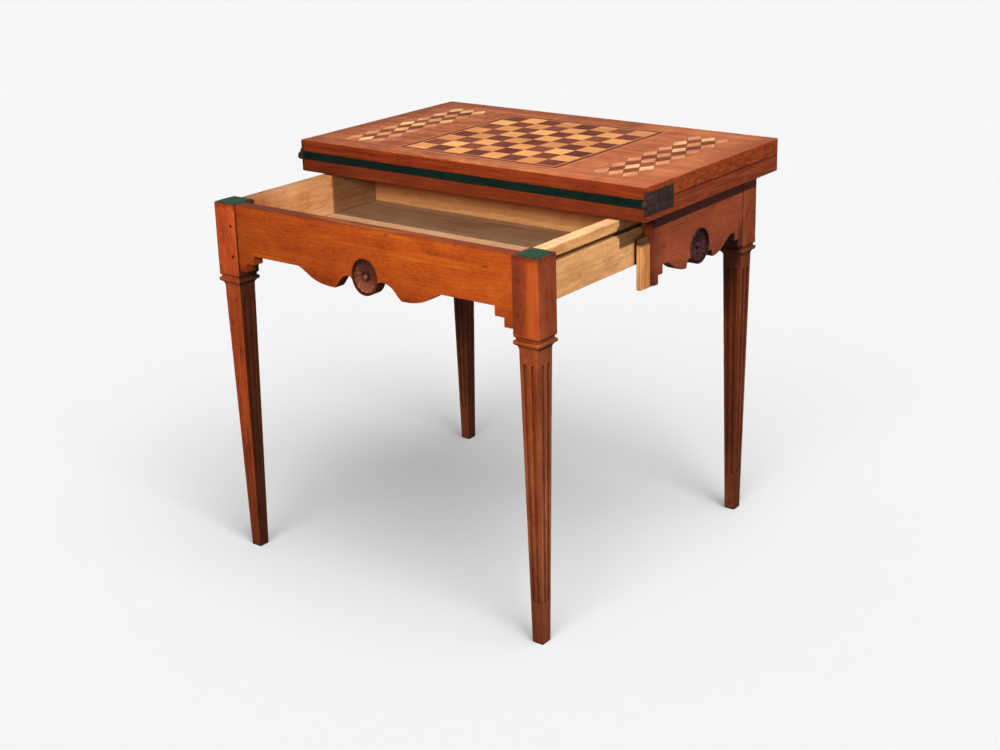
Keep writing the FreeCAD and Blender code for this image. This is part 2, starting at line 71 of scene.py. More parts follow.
class Tree:
    def __init__(self, name):
        self.mat = bpy.data.materials.new(name)
        self.mat.use_nodes = True
        self.nt = self.mat.node_tree
        self.nt.nodes.clear()
        self.out = self.add("ShaderNodeOutputMaterial")
        self.bsdf = self.add("ShaderNodeBsdfPrincipled")
        self.link(self.bsdf.outputs[0], self.out.inputs["Surface"])
        self.coord = self.add("ShaderNodeTexCoord").outputs["Object"]
        self._xyz = None

    def add(self, kind, **kw):
        n = self.nt.nodes.new(kind)
        for k, v in kw.items():
            setattr(n, k, v)
        return n

    def link(self, a, b):
        self.nt.links.new(a, b)

    def put(self, socket, value):
        if isinstance(value, bpy.types.NodeSocket):
            self.link(value, socket)
        else:
            socket.default_value = value

    def xyz(self, axis):
        if self._xyz is None:
            self._xyz = self.add("ShaderNodeSeparateXYZ")
            self.link(self.coord, self._xyz.inputs[0])
        return self._xyz.outputs[axis]

    def mapping(self, scale=(1, 1, 1), loc=(0, 0, 0), rot=(0, 0, 0), vec=None):
        n = self.add("ShaderNodeMapping")
        n.inputs["Scale"].default_value = scale
        n.inputs["Location"].default_value = loc
        n.inputs["Rotation"].default_value = rot
        self.link(vec or self.coord, n.inputs["Vector"])
        return n.outputs[0]

    def noise(self, vec, detail=3.0, rough=0.55, distort=0.0):
        n = self.add("ShaderNodeTexNoise")
        n.inputs["Scale"].default_value = 1.0
        n.inputs["Detail"].default_value = detail
        n.inputs["Roughness"].default_value = rough
        n.inputs["Distortion"].default_value = distort
        self.link(vec, n.inputs["Vector"])
        return n.outputs["Fac"]

    def voronoi(self, vec, out="Distance"):
        n = self.add("ShaderNodeTexVoronoi")
        n.inputs["Scale"].default_value = 1.0
        self.link(vec, n.inputs["Vector"])
        return n.outputs[out]

    def cells(self, vec):
        n = self.add("ShaderNodeTexWhiteNoise")
        f = self.add("ShaderNodeVectorMath", operation="FLOOR")
        self.link(vec, f.inputs[0])
        self.link(f.outputs[0], n.inputs["Vector"])
        return n.outputs["Value"]

    def rings(self, vec, direction, scale, distort=4.0, detail=2.0, dscale=1.0):
        n = self.add("ShaderNodeTexWave", wave_type="RINGS", rings_direction=direction, wave_profile="SIN")
        n.inputs["Scale"].default_value = scale
        n.inputs["Distortion"].default_value = distort
        n.inputs["Detail"].default_value = detail
        n.inputs["Detail Scale"].default_value = dscale
        self.link(vec, n.inputs["Vector"])
        return n.outputs["Fac"]

    def ramp(self, fac, stops):
        n = self.add("ShaderNodeValToRGB")
        e = n.color_ramp.elements
        while len(e) < len(stops):
            e.new(0.5)
        for el, (p, c) in zip(e, stops):
            el.position = p
            el.color = c if len(c) == 4 else (*c, 1.0)
        self.link(fac, n.inputs[0])
        return n.outputs["Color"]

    def grey(self, fac, p0, v0, p1, v1):
        """A clamped linear map of fac from p0..p1 to v0..v1."""
        n = self.add("ShaderNodeMapRange")
        n.clamp = True
        for k, v in zip(("From Min", "From Max", "To Min", "To Max"), (p0, p1, v0, v1)):
            n.inputs[k].default_value = v
        self.link(fac, n.inputs["Value"])
        return n.outputs[0]

    def math(self, op, a, b=0.0, c=0.0):
        n = self.add("ShaderNodeMath", operation=op)
        for s, v in zip(n.inputs, (a, b, c)):
            self.put(s, v)
        return n.outputs[0]

    def mul(self, *xs):
        r = xs[0]
        for x in xs[1:]:
            r = self.math("MULTIPLY", r, x)
        return r

    def mix(self, fac, a, b, blend="MIX"):
        n = self.add("ShaderNodeMix", data_type="RGBA", blend_type=blend)
        n.clamp_factor = True
        self.put(n.inputs[0], fac)
        self.put(n.inputs[6], a)
        self.put(n.inputs[7], b)
        return n.outputs[2]

    def hsv(self, col, v):
        n = self.add("ShaderNodeHueSaturation")
        self.put(n.inputs["Value"], v)
        self.put(n.inputs["Color"], col)
        return n.outputs[0]

    def bump(self, height, strength, dist, normal=None):
        n = self.add("ShaderNodeBump")
        n.inputs["Strength"].default_value = strength
        n.inputs["Distance"].default_value = dist
        self.link(height, n.inputs["Height"])
        if normal is not None:
            self.link(normal, n.inputs["Normal"])
        return n.outputs[0]

    def bevel(self, radius, samples=4):
        n = self.add("ShaderNodeBevel", samples=samples)
        n.inputs["Radius"].default_value = radius
        return n.outputs[0]

    def ao(self, distance, samples=6):
        n = self.add("ShaderNodeAmbientOcclusion", samples=samples)
        n.inputs["Distance"].default_value = distance
        return n.outputs["AO"]

    def edge(self, bevel_normal):
        """1 on flat faces, falling towards 0 at sharp edges."""
        g = self.add("ShaderNodeNewGeometry")
        d = self.add("ShaderNodeVectorMath", operation="DOT_PRODUCT")
        self.link(bevel_normal, d.inputs[0])
        self.link(g.outputs["Normal"], d.inputs[1])
        return d.outputs["Value"]

    def finish(self, color, rough, normal, ior=1.45, spec=0.5, metallic=0.0, sheen=0.0):
        b = self.bsdf.inputs
        self.put(b["Base Color"], color)
        self.put(b["Roughness"], rough)
        if normal is not None:
            self.link(normal, b["Normal"])
        b["IOR"].default_value = ior
        b["Specular IOR Level"].default_value = spec
        b["Metallic"].default_value = metallic
        b["Sheen Weight"].default_value = sheen
        return self.mat


AX = {"X": 0, "Y": 1, "Z": 2}


def stretch(axis, along, across):
    s = [across] * 3
    s[AX[axis]] = along
    return tuple(s)


def wood(name, axis, dark, mid, light, seed=0.0, ring=0.12, ring_mm=6.0, streak=0.35, blotch=0.22, pores=0.35,
         fleck=0.0, dirt_and_shade=0.5, dirt_and_shade_mm=12.0, wear_and_highlight=0.3, rim=0.0, edge_mm=1.3, rough=(0.36, 0.5), ior=1.28, spec=0.35,
         pith=(0.16, 0.11), bump=1.0, paint=None, tile=None):
    """Waxed solid wood: growth rings round a far pith, streaks, pores, soft patches, corners darkened partly by soiling
    and partly as painted shade, and arrises worn pale (on the carving partly a painted highlight) or darkened. axis is
    the way the grain runs; paint(t, colour, noise) adds what is particular to a piece; tile gives each inlaid tile its
    own tone."""
    t = Tree(name)
    off = (seed * 1.37, seed * 0.71, seed * 2.13)
    loc = [pith[0], pith[1], pith[0] * 0.6]
    loc[AX[axis]] = seed
    rot = [0.0, 0.0, 0.0]
    rot[(AX[axis] + 1) % 3] = 0.035
    rot[(AX[axis] + 2) % 3] = -0.028
    rings = t.rings(t.mapping(stretch(axis, 0.22, 1.0), loc, rot), axis, 0.314 / (ring_mm / 1000.0), 7.0, 3.0, 1.6)
    broad = t.noise(t.mapping(stretch(axis, 4.0, 34.0), off), 4.0, 0.6, 0.4)
    fine = t.noise(t.mapping(stretch(axis, 14.0, 300.0), off), 4.0, 0.65)
    tick = t.noise(t.mapping(stretch(axis, 70.0, 1500.0), off), 2.0, 0.6)
    patch = t.noise(t.mapping(stretch(axis, 11.0, 22.0), off), 4.0, 0.62, 0.5)
    dab = t.noise(t.mapping(stretch(axis, 95.0, 210.0), off), 3.0, 0.6)
    brk = t.noise(t.mapping((42.0, 42.0, 42.0), off), 3.0, 0.6)
    f = t.math("MULTIPLY_ADD", t.math("SUBTRACT", broad, 0.5), 2.2 * streak, 0.5)
    f = t.math("MULTIPLY_ADD", t.math("SUBTRACT", rings, 0.5), ring, f)
    f = t.math("MULTIPLY_ADD", t.math("SUBTRACT", fine, 0.5), 0.9 * streak, f)
    f = t.math("MULTIPLY_ADD", t.math("SUBTRACT", patch, 0.5), 2.4 * blotch, f)
    f = t.math("MULTIPLY_ADD", t.math("SUBTRACT", dab, 0.5), 1.5 * blotch, f)
    if tile is not None:
        f = t.math("MULTIPLY_ADD", t.math("SUBTRACT", t.cells(t.mapping(*tile)), 0.5), 0.42, f)
    col = t.ramp(f, [(0.14, dark), (0.5, mid), (0.86, light)])
    pore = t.grey(tick, 0.30, pores, 0.42, 0.0)
    col = t.mix(pore, col, shade(dark, 0.35))
    if fleck:
        m = t.voronoi(t.mapping(stretch(axis, 20.0, 46.0), off))
        spot = t.grey(t.math("MULTIPLY_ADD", t.math("SUBTRACT", brk, 0.5), 0.5, m), 0.02, fleck, 0.13, 0.0)
        col = t.mix(spot, col, shade(dark, 0.35))
        speck = t.voronoi(t.mapping(stretch(axis, 34.0, 120.0), off))
        speck = t.math("MULTIPLY_ADD", t.math("SUBTRACT", patch, 0.5), 1.3, speck)
        col = t.mix(t.grey(speck, -0.06, 0.55 * fleck, 0.14, 0.0), col, shade(dark, 0.5))
    if paint is not None:
        col = paint(t, col, brk)
    nb = t.bevel(edge_mm / 1000.0)
    # pale worn arrises; on the carving these are also a painted highlight
    if wear_and_highlight:
        worn = t.mul(t.grey(t.edge(nb), 0.80, 1.0, 0.985, 0.0), t.grey(brk, 0.40, 0.0, 0.60, wear_and_highlight))
        col = t.mix(worn, col, shade(light, 1.25, 0.015))
    if rim:
        dim = t.mul(t.grey(t.edge(nb), 0.86, 1.0, 0.995, 0.0), t.grey(brk, 0.32, 0.35 * rim, 0.60, rim))
        col = t.mix(dim, col, shade(dark, 0.22))
    # soiling and painted shade: the colour darkens where ambient occlusion finds corners, hollows and gaps between
    # parts
    if dirt_and_shade:
        dirt_and_shade_mask = t.mul(t.grey(t.ao(dirt_and_shade_mm / 1000.0), 0.35, dirt_and_shade, 0.95, 0.0), t.grey(brk, 0.25, 0.75, 0.65, 1.0))
        col = t.mix(dirt_and_shade_mask, col, shade(dark, 0.14))
    r = t.grey(patch, 0.3, rough[0], 0.7, rough[1])
    r = t.math("MULTIPLY_ADD", pore, 0.3, r)
    h = t.math("MULTIPLY_ADD", fine, 0.6, t.math("MULTIPLY_ADD", rings, 0.15, t.math("MULTIPLY", pore, -0.8)))
    n = t.bump(h, 0.14 * bump, 0.0006, nb)
    dents = t.noise(t.mapping((26.0, 26.0, 26.0), off), 3.0, 0.5)
    n = t.bump(dents, 0.08 * bump, 0.004, n)
    return t.finish(col, r, n, ior=ior, spec=spec)


# ----------------------------------------------------------------------------
# finishes
# ----------------------------------------------------------------------------
def wobble(t, axis, brk, k):
    return t.math("MULTIPLY_ADD", t.math("SUBTRACT", brk, 0.5), k, t.xyz(axis))


def far(t, a, a0, z0, kx=1.0):
    """Distance in metres from a rosette's middle, in the plane of the apron's face."""
    u = t.math("MULTIPLY", t.math("SUBTRACT", t.xyz(a), a0), 1.0 / kx)
    return t.math("SQRT", t.math("ADD", t.math("POWER", u, 2.0), t.math("POWER", t.math("SUBTRACT", t.xyz("Z"), z0), 2.0)))


def facing(t, axis):
    """The part of the face's own direction along an axis."""
    if not hasattr(t, "face"):
        g = t.add("ShaderNodeNewGeometry")
        t.face = t.add("ShaderNodeSeparateXYZ")
        t.link(g.outputs["True Normal"], t.face.inputs[0])
    return t.face.outputs[axis]


def paint_front(x0):
    def paint(t, col, brk):
        top = t.mul(t.grey(wobble(t, "Z", brk, 0.010), 0.681, 0.0, 0.6865, 0.45), t.grey(wobble(t, "X", brk, 0.2), -0.12, 1.0, 0.16, 0.35))
        col = t.mix(top, col, srgb(70, 28, 14))
        # the upper edge is dull, most so on the left
        edge = t.mul(t.grey(facing(t, "Z"), 0.6, 0.0, 0.9, 1.0), t.grey(wobble(t, "X", brk, 0.1), -0.28, 0.85, 0.1, 0.6))
        col = t.mix(edge, col, srgb(84, 36, 20))
        low = t.grey(wobble(t, "Z", brk, 0.03), 0.566, 0.7, 0.60, 0.0)
        col = t.mix(low, col, srgb(104, 36, 14))
        # pale streaks along the board
        s = t.noise(t.mapping((3.2, 30.0, 42.0), (4.1, 0.0, 2.2)), 2.0, 0.5)
        col = t.mix(t.grey(s, 0.60, 0.0, 0.74, 0.42), col, srgb(196, 104, 28))
        return t.mix(t.grey(far(t, "X", x0, 0.598, 0.87), 0.0330, 0.92, 0.0356, 0.0), col, srgb(84, 38, 24))
    return paint


def paint_side(t, col, brk):
    # painted shade under the leaf's overhang along the top of the apron
    z = wobble(t, "Z", brk, 0.02)
    col = t.mix(t.grey(z, 0.664, 0.0, 0.69, 0.55), col, srgb(52, 24, 18))
    col = t.mix(t.grey(wobble(t, "Z", brk, 0.03), 0.560, 0.5, 0.592, 0.0), col, srgb(84, 34, 20))
    col = t.mix(t.grey(t.xyz("Y"), -0.024, 0.55, 0.02, 0.0), col, srgb(74, 28, 20))
    # painted shade on the stepped corner by the back leg
    col = t.mix(t.mul(t.grey(t.xyz("Y"), 0.269, 0.0, 0.277, 0.7), t.grey(wobble(t, "Z", brk, 0.012), 0.588, 1.0, 0.606, 0.0)), col, srgb(46, 20, 16))
    return t.mix(t.grey(far(t, "Y", 0.13265, 0.591), 0.0330, 0.92, 0.0356, 0.0), col, srgb(58, 28, 24))


def paint_leg(front, right, stripe=False, centre=None):
    """Painted light and shade. front and right: (height in metres, tone, dullness) up the leg on these two faces,
    lighter where the leg is lit and darker where it is in shade; the feet are painted darker on all.
    With the leg's centre given, the walls of a flute take the tone of the face that it is cut in."""
    def paint(t, col, brk):
        z = t.math("MULTIPLY", wobble(t, "Z", brk, 0.02), 1.0 / 0.75)
        rest = (0.0, 0.6, 1.1), (0.2, 1.0, 1.0)
        a, b, c = [t.ramp(z, [(h / 0.75, (k, k * (1.0 + d) / 2, k * d)) for h, k, d in levels]) for levels in (front, right, rest)]
        if centre:
            dx, dy = t.math("SUBTRACT", t.xyz("X"), centre[0]), t.math("SUBTRACT", t.xyz("Y"), centre[1])
            tone = t.mix(t.grey(t.math("ADD", dy, t.math("ABSOLUTE", dx)), -0.0005, 1.0, 0.0005, 0.0), c, a)
            tone = t.mix(t.grey(t.math("SUBTRACT", dx, t.math("ABSOLUTE", dy)), -0.0005, 0.0, 0.0005, 1.0), tone, b)
        else:
            tone = t.mix(t.grey(facing(t, "Y"), -0.65, 1.0, -0.45, 0.0), c, a)
            tone = t.mix(t.grey(facing(t, "X"), 0.45, 0.0, 0.65, 1.0), tone, b)
        # the painted light and shade multiplies the wood's colour
        col = t.mix(1.0, col, tone, "MULTIPLY")
        # on the block's front, a darker band and then a pale stripe that is partly wear and partly a painted highlight,
        # as on a rounded arris
        if stripe:
            on = t.mul(t.grey(facing(t, "Y"), -0.8, 1.0, -0.5, 0.0), t.grey(t.xyz("Z"), 0.552, 0.0, 0.558, 1.0))
            x = wobble(t, "X", brk, 0.008)
            col = t.mix(t.mul(on, t.grey(x, 0.326, 0.6, 0.341, 0.0)), col, srgb(84, 32, 18))
            m = t.mul(on, t.grey(x, 0.337, 0.0, 0.345, 0.6), t.grey(t.xyz("X"), 0.352, 1.0, 0.360, 0.3), t.grey(t.xyz("Z"), 0.664, 1.0, 0.682, 0.1))
            col = t.mix(m, col, srgb(164, 74, 24))
        return t.mix(t.grey(wobble(t, "Z", brk, 0.008), 0.676, 0.0, 0.687, 0.7), col, srgb(46, 18, 12))
    return paint


def paint_rail_left(t, col, brk):
    # curly figure in front of the leaf's shadow line; painted shade under the leaf, darker towards the top
    s = t.noise(t.mapping((12.0, 16.0, 34.0), (1.7, 0.4, 0.9), (0.75, 0.0, 0.0)), 3.0, 0.6, 1.2)
    lit = t.grey(t.xyz("Y"), -0.102, 1.0, -0.094, 0.0)
    col = t.mix(t.mul(lit, t.grey(s, 0.50, 0.0, 0.66, 0.5)), col, srgb(116, 62, 26))
    col = t.mix(t.grey(t.xyz("Y"), -0.285, 0.6, -0.215, 0.0), col, srgb(118, 60, 24))
    # painted shade behind the leaf's shadow line, deepest at the top
    z = t.math("MULTIPLY", t.xyz("Z"), 1.0 / 0.75)
    k = t.ramp(z, [(0.612 / 0.75, (0.9,) * 3), (0.687 / 0.75, (0.45,) * 3)])
    return t.mix(t.grey(t.xyz("Y"), -0.102, 0.0, -0.094, 1.0), col, t.mix(1.0, col, k, "MULTIPLY"))


def paint_board(t, col, brk):
    # painted shade under the leaf: browner and darker towards the top
    return t.mix(t.grey(wobble(t, "Z", brk, 0.012), 0.616, 0.0, 0.656, 0.9), col, srgb(136, 54, 20))


def paint_rail(t, col, brk):
    s = t.noise(t.mapping((12.0, 7.0, 26.0), (1.7, 0.4, 0.9), (0.35, 0.0, 0.0)), 3.0, 0.6, 0.6)
    col = t.mix(t.grey(s, 0.56, 0.0, 0.70, 0.5), col, srgb(150, 92, 44))
    return t.mix(t.grey(wobble(t, "Z", brk, 0.01), 0.684, 0.0, 0.688, 0.35), col, srgb(236, 206, 160))


def paint_leaf(t, col, brk):
    # the faces at the edge are deeper in colour than the rubbed top
    g = t.add("ShaderNodeNewGeometry")
    s = t.add("ShaderNodeSeparateXYZ")
    t.link(g.outputs["True Normal"], s.inputs[0])
    side = t.grey(t.math("ABSOLUTE", s.outputs["Z"]), 0.2, 1.0, 0.9, 0.0)
    lip = t.mul(t.grey(t.math("ABSOLUTE", t.xyz("X")), 0.362, 0.0, 0.392, 0.45), t.grey(brk, 0.3, 0.5, 0.6, 1.0))
    col = t.mix(lip, col, srgb(112, 46, 22))
    worn = t.noise(t.mapping((9.0, 5.0, 5.0), (2.0, 7.0, 1.0)), 4.0, 0.65, 0.8)
    col = t.mix(t.grey(worn, 0.50, 0.0, 0.68, 0.55), col, srgb(116, 50, 24))
    col = t.mix(t.grey(worn, 0.30, 0.35, 0.42, 0.0), col, srgb(186, 108, 58))
    # darker and more mottled towards the left end, and along the right edge at the back
    mott = t.noise(t.mapping((70.0, 46.0, 46.0), (3.0, 1.0, 4.0)), 4.0, 0.7, 0.6)
    mott = t.mul(t.grey(mott, 0.48, 0.0, 0.66, 0.5), t.grey(t.xyz("X"), -0.1, 1.0, 0.25, 0.3))
    col = t.mix(mott, col, srgb(104, 42, 24))
    col = t.mix(t.grey(wobble(t, "X", brk, 0.08), -0.38, 0.5, -0.29, 0.0), col, srgb(104, 46, 26))
    col = t.mix(t.mul(t.grey(t.xyz("X"), 0.364, 0.0, 0.378, 0.6), t.grey(t.xyz("Y"), 0.10, 0.0, 0.28, 1.0)), col, srgb(92, 38, 20))
    col = t.mix(t.grey(wobble(t, "X", brk, 0.06), 0.08, 0.0, 0.30, 0.22), col, srgb(190, 106, 60))
    streak = t.noise(t.mapping((9.0, 60.0, 190.0), (6.0, 2.0, 5.0)), 4.0, 0.65, 0.4)
    col = t.mix(t.mul(side, 0.85), col, t.ramp(streak, [(0.34, srgb(92, 32, 14)), (0.5, srgb(124, 48, 20)), (0.66, srgb(148, 64, 27))]))
    face = t.grey(t.math("ABSOLUTE", s.outputs["Y"]), 0.4, 0.0, 0.8, 1.0)
    # painted shade along the foot of the front faces, over the baize's recess
    low = t.mul(face, t.grey(wobble(t, "Z", brk, 0.006), 0.7265, 0.8, 0.7295, 0.0))
    col = t.mix(face, col, t.mix(1.0, col, (0.82, 0.70, 0.76, 1.0), "MULTIPLY"))
    col = t.mix(low, col, srgb(40, 18, 12))
    # the seam between the leaves
    col = t.mix(t.mul(side, t.grey(wobble(t, "Z", brk, 0.001), 0.7200, 0.85, 0.7213, 0.0)), col, srgb(36, 16, 12))
    chip = t.voronoi(t.mapping((90.0, 90.0, 140.0)))
    chip = t.mul(t.grey(t.math("MULTIPLY_ADD", t.math("SUBTRACT", brk, 0.5), 0.9, chip), 0.02, 0.8, 0.14, 0.0), side)
    return t.mix(chip, col, srgb(46, 20, 12))


def paint_leaf_low(t, col, brk):
    end = t.grey(t.math("ABSOLUTE", facing(t, "X")), 0.5, 0.0, 0.8, 0.7)
    grain = t.noise(t.mapping((60.0, 12.0, 160.0), (2.0, 5.0, 3.0)), 4.0, 0.65, 0.4)
    col = t.mix(end, col, t.ramp(grain, [(0.34, srgb(90, 34, 18)), (0.5, srgb(126, 52, 26)), (0.68, srgb(150, 72, 38))]))
    flat = t.grey(t.math("ABSOLUTE", facing(t, "Z")), 0.3, 1.0, 0.6, 0.0)
    return t.mix(t.mul(flat, t.grey(wobble(t, "Z", brk, 0.001), 0.7168, 0.0, 0.7181, 0.8)), col, srgb(36, 16, 12))


def paint_lozenge_fill(t, col, brk):
    # the dark lozenges lie between the pale ones; the half lozenges along the border are of the leaf's own wood
    u = t.math("DIVIDE", t.math("SUBTRACT", t.math("ABSOLUTE", t.xyz("X")), 0.2875), 0.0295)
    v = t.math("DIVIDE", t.math("SUBTRACT", t.xyz("Y"), 0.129), 0.0525)
    inside = t.mul(t.math("LESS_THAN", t.math("ABSOLUTE", u), 1.0), t.math("LESS_THAN", t.math("ABSOLUTE", v), 3.0))
    g = t.noise(t.mapping((14.0, 300.0, 300.0), (5.7, 3.0, 9.0)), 4.0, 0.65)
    return t.mix(inside, t.ramp(g, [(0.3, TP[0]), (0.5, TP[1]), (0.72, TP[2])]), col)


def paint_tongue(t, col, brk):
    # painted shade across the top of the tongue, in brown-black patches
    return t.mix(t.grey(wobble(t, "Z", brk, 0.008), 0.628, 0.0, 0.634, 0.95), col, t.mix(t.grey(brk, 0.4, 0.0, 0.65, 1.0), srgb(36, 20, 13), srgb(84, 52, 34)))


def paint_lozenge(t, col, brk):
    # a dark glue line round each lozenge
    u = t.math("FRACT", t.math("MULTIPLY_ADD", t.math("ABSOLUTE", t.xyz("X")), 1000 / 29.5, 0.25))
    v = t.math("FRACT", t.math("MULTIPLY_ADD", t.xyz("Y"), 1000 / 52.5, -129.0 / 52.5))
    s = t.math("ADD", t.math("ABSOLUTE", t.math("SUBTRACT", u, 0.5)), t.math("ABSOLUTE", t.math("SUBTRACT", v, 0.5)))
    line = t.math("ABSOLUTE", t.math("SUBTRACT", s, 0.5))
    return t.mix(t.grey(line, 0.018, 0.8, 0.050, 0.0), col, srgb(66, 26, 14))


def paint_carved_side(t, col, brk):
    # painted shade over the upper part of the side rosettes
    return t.mix(t.grey(t.xyz("Z"), 0.580, 0.0, 0.615, 0.6), col, srgb(34, 18, 18))


def paint_carved(cx):
    def paint(t, col, brk):
        # painted shade above and painted light below, as on a dish lit from above; a painted shadow round a boss with a
        # painted highlight
        col = t.mix(t.grey(t.xyz("Z"), 0.588, 0.0, 0.622, 0.72), col, srgb(44, 20, 20))
        # painted light: paler below
        col = t.mix(t.grey(t.xyz("Z"), 0.568, 0.55, 0.594, 0.0), col, srgb(150, 88, 64))
        r = far(t, "X", cx, 0.598)
        # a painted shadow in a ring round the boss
        col = t.mix(t.mul(t.grey(r, 0.0042, 0.0, 0.0052, 0.65), t.grey(r, 0.0080, 1.0, 0.0110, 0.0)), col, srgb(26, 12, 11))
        # a painted highlight on the boss
        return t.mix(t.grey(r, 0.0028, 0.4, 0.0048, 0.0), col, srgb(150, 92, 70))
    return paint


CH = srgb(97, 36, 12), srgb(149, 62, 18), srgb(178, 88, 30)
CS = srgb(92, 35, 20), srgb(139, 61, 30), srgb(164, 84, 46)
LG = srgb(82, 33, 20), srgb(140, 62, 29), srgb(168, 86, 45)
TP = srgb(120, 54, 28), srgb(161, 85, 44), srgb(184, 109, 62)
BE = srgb(172, 112, 60), srgb(204, 146, 93), srgb(224, 174, 122)

M = {}
M["apron_front"] = wood("cherry_apron", "X", *CH, seed=0.3, streak=0.16, ring=0.08, blotch=0.22, fleck=0.6, wear_and_highlight=0.0, rim=0.5, edge_mm=1.2, ior=1.24, paint=paint_front(-0.006))
M["apron_back"] = wood("cherry_back", "X", *CH, seed=0.9, streak=0.16, ring=0.08, blotch=0.2, fleck=0.5, wear_and_highlight=0.0, rim=0.7, edge_mm=1.6, paint=paint_front(0.006))
M["apron_side"] = wood("cherry_side", "Y", *CS, seed=1.1, ior=1.45, spec=0.5, streak=0.18, ring=0.08, blotch=0.22, fleck=0.6, wear_and_highlight=0.0, rim=0.7, edge_mm=1.6, paint=paint_side)
LEG = dict(ring_mm=5.0, ring=0.08, streak=0.26, blotch=0.26, fleck=0.7, dirt_and_shade=1.0, dirt_and_shade_mm=7.0, wear_and_highlight=0.0, rim=0.5, edge_mm=1.8, ior=1.38, spec=0.5)
# the face and height tones given to paint_leg are painted light and shade: the dark right faces, the dark back legs and
# the darker feet stand for shade
M["leg"] = wood("cherry_leg", "Z", *LG, seed=2.7, paint=paint_leg([(0.0, 0.65, 1.1), (0.3, 1.55, 0.65), (0.53, 1.2, 0.75), (0.575, 1.65, 0.6)], [(0.0, 0.32, 1.1), (0.15, 0.34, 1.3)], centre=(-0.337, -0.340)), **{**LEG, "dirt_and_shade": 0.4})
M["leg_right"] = wood("cherry_leg_right", "Z", *LG, seed=2.2, paint=paint_leg([(0.0, 0.55, 1.4), (0.2, 1.0, 1.3), (0.52, 0.8, 1.1), (0.57, 0.95, 0.65)], [(0.0, 0.5, 1.3), (0.2, 1.05, 2.0), (0.52, 0.65, 1.3), (0.57, 0.8, 0.9)], True), **LEG)
M["leg_back"] = wood("cherry_leg_back", "Z", *LG, seed=3.7, paint=paint_leg([(0.0, 1.0, 1.4), (0.6, 1.0, 1.1)], [(0.0, 0.45, 1.4), (0.2, 0.95, 1.3), (0.54, 0.8, 1.1), (0.57, 1.3, 1.0)]), **LEG)
M["leg_back_left"] = wood("cherry_leg_back_left", "Z", *LG, seed=3.1, paint=paint_leg([(0.0, 0.8, 1.3), (0.2, 0.9, 1.5)], [(0.0, 0.42, 1.1), (0.2, 0.9, 1.3)]), **LEG)
M["leaf"] = wood("cherry_leaf", "X", *TP, seed=4.2, ring=0.14, ring_mm=8.0, streak=0.56, blotch=0.30, pores=0.6, fleck=0.6, wear_and_highlight=0.45, edge_mm=2.2, rough=(0.42, 0.58), ior=1.22, paint=paint_leaf)
M["leaf_low"] = wood("cherry_leaf_lower", "X", srgb(62, 22, 11), srgb(103, 40, 18), srgb(128, 58, 28), seed=4.9, ring=0.08, ring_mm=8.0, streak=0.2, blotch=0.2, fleck=0.5, wear_and_highlight=0.25, rim=0.3, edge_mm=2.0, paint=paint_leaf_low)
M["rail_left"] = wood("beech_rail_left", "Y", srgb(134, 86, 47), srgb(160, 110, 69), srgb(178, 133, 92), seed=6.4, ring_mm=11.0, rough=(0.55, 0.72), fleck=0.25, dirt_and_shade=0.2, dirt_and_shade_mm=5.0, paint=paint_rail_left, wear_and_highlight=0.1)
M["rail"] = wood("beech_rail", "Y", *BE, seed=5.9, ring_mm=11.0, rough=(0.55, 0.72), fleck=0.25, dirt_and_shade=0.8, paint=paint_rail, wear_and_highlight=0.2)
M["board"] = wood("beech_board", "X", srgb(156, 102, 56), srgb(186, 132, 82), srgb(204, 156, 108), seed=7.4, ring_mm=12.0, rough=(0.55, 0.75), fleck=0.25, dirt_and_shade=0.35, dirt_and_shade_mm=4.0, wear_and_highlight=0.1, paint=paint_board)
M["floorboard"] = wood("store_floor", "X", srgb(138, 95, 65), srgb(170, 126, 91), srgb(186, 147, 114), seed=8.8, ring_mm=14.0, rough=(0.6, 0.8), fleck=0.2, dirt_and_shade=0.45, dirt_and_shade_mm=8.0, wear_and_highlight=0.0)
M["tongue"] = wood("beech_tongue", "Z", srgb(142, 80, 36), srgb(192, 126, 72), srgb(218, 164, 108), seed=9.6, ring=0.2, ring_mm=5.0, streak=0.5, rough=(0.45, 0.65), fleck=0.4, dirt_and_shade=0.6, wear_and_highlight=0.0, rim=0.4, paint=paint_tongue)
M["peg"] = wood("peg_wood", "Y", srgb(50, 20, 12), srgb(80, 33, 18), srgb(104, 46, 25), seed=3.3, rough=(0.5, 0.7), wear_and_highlight=0.0, dirt_and_shade=0.0)
M["peg_side"] = wood("peg_wood_side", "X", srgb(76, 31, 18), srgb(116, 50, 27), srgb(142, 71, 38), seed=3.9, rough=(0.5, 0.7), wear_and_highlight=0.0, dirt_and_shade=0.0)
# on the carving the pale arrises are partly a painted highlight and the darkened hollows partly painted shade
CARVE = dict(ring=0.15, ring_mm=5.0, blotch=0.3, streak=0.3, dirt_and_shade=1.0, dirt_and_shade_mm=4.0, wear_and_highlight=0.85, edge_mm=0.6)
M["carved"] = wood("carved_wood", "Z", srgb(58, 26, 18), srgb(106, 54, 38), srgb(140, 82, 60), seed=6.1, paint=paint_carved(-0.006), **CARVE)
M["carved_back"] = wood("carved_wood_back", "Z", srgb(58, 26, 18), srgb(106, 54, 38), srgb(140, 82, 60), seed=6.3, paint=paint_carved(0.006), **CARVE)
M["carved_side"] = wood("carved_wood_side", "Z", srgb(36, 17, 16), srgb(62, 31, 29), srgb(88, 48, 44), seed=6.6, paint=paint_carved_side, **CARVE)
SQ = ((1000 / 42.0, 1000 / 42.0, 0.0), (0.0, -124.0 / 42.0, 0.5))
LZ = ((1000 / 29.5, 1000 / 52.5, 0.0), (0.25, -129.0 / 52.5, 0.5))
INLAY = dict(dirt_and_shade=0.0, wear_and_highlight=0.0, edge_mm=0.2, rough=(0.42, 0.56), ior=1.22, ring=0.06, streak=0.22, blotch=0.12, pores=0.3)
